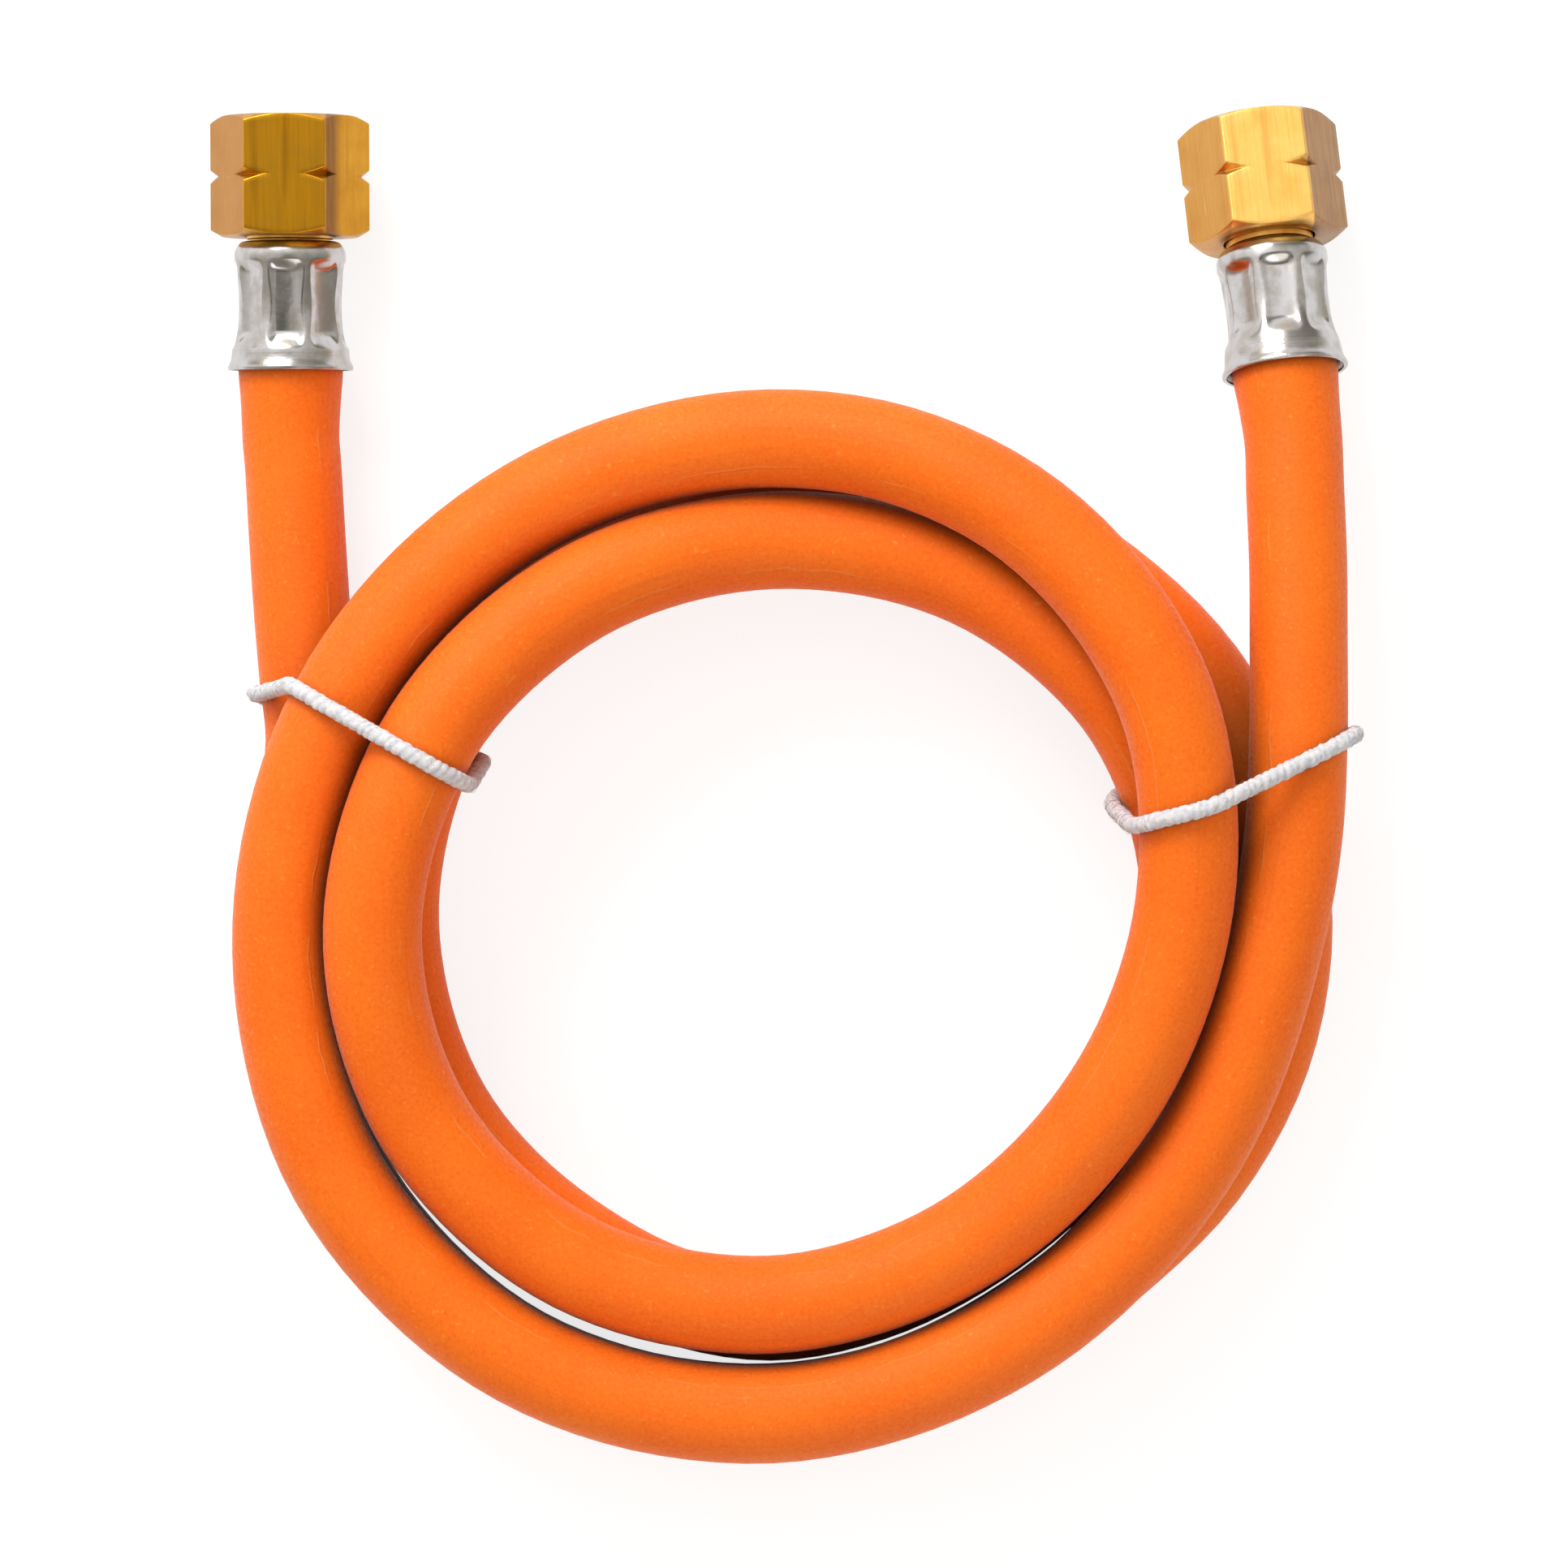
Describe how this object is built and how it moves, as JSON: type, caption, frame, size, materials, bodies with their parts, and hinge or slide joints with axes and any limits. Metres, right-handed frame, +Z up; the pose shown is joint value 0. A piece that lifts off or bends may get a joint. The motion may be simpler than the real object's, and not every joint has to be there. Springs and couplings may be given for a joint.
{
  "type": "gas hose assembly",
  "caption": "Coiled orange rubber gas hose held by two white ties, with crimped ferrules and brass hexagonal union nuts on both ends.",
  "frame": {"origin": "centre of the bounding box's base, on the plane the coil lies on", "axes": "+Z up, +Y from the coil towards both fittings, +X from the left fitting to the right one"},
  "size_m": [0.1576, 0.1858, 0.0385],
  "materials": {
    "orange_rubber": "matt, slightly chalky",
    "brass": "machined, bright",
    "aged_brass": "machined, slightly tarnished",
    "plated_steel": "bright plated, crimped",
    "white_textile": "woven cover"
  },
  "bodies": {
    "hose_assembly": {"hose": "orange_rubber", "left_nipple": "brass", "right_nipple": "brass", "left_ferrule": "plated_steel", "right_ferrule": "plated_steel", "left_tie": "white_textile", "right_tie": "white_textile"},
    "left_nut": {"left_union_nut": "aged_brass"},
    "right_nut": {"right_union_nut": "brass"}
  },
  "joints": [
    {"name": "left_nut_spin", "type": "hinge", "parent": "hose_assembly", "child": "left_nut", "pos_m": [-0.068, 0.08352, 0.00992], "axis": [0, 0.9988, 0.048], "continuous": true},
    {"name": "right_nut_spin", "type": "hinge", "parent": "hose_assembly", "child": "right_nut", "pos_m": [0.06578, 0.08255, 0.01081], "axis": [-0.1012, 0.9796, -0.1736], "continuous": true}
  ]
}
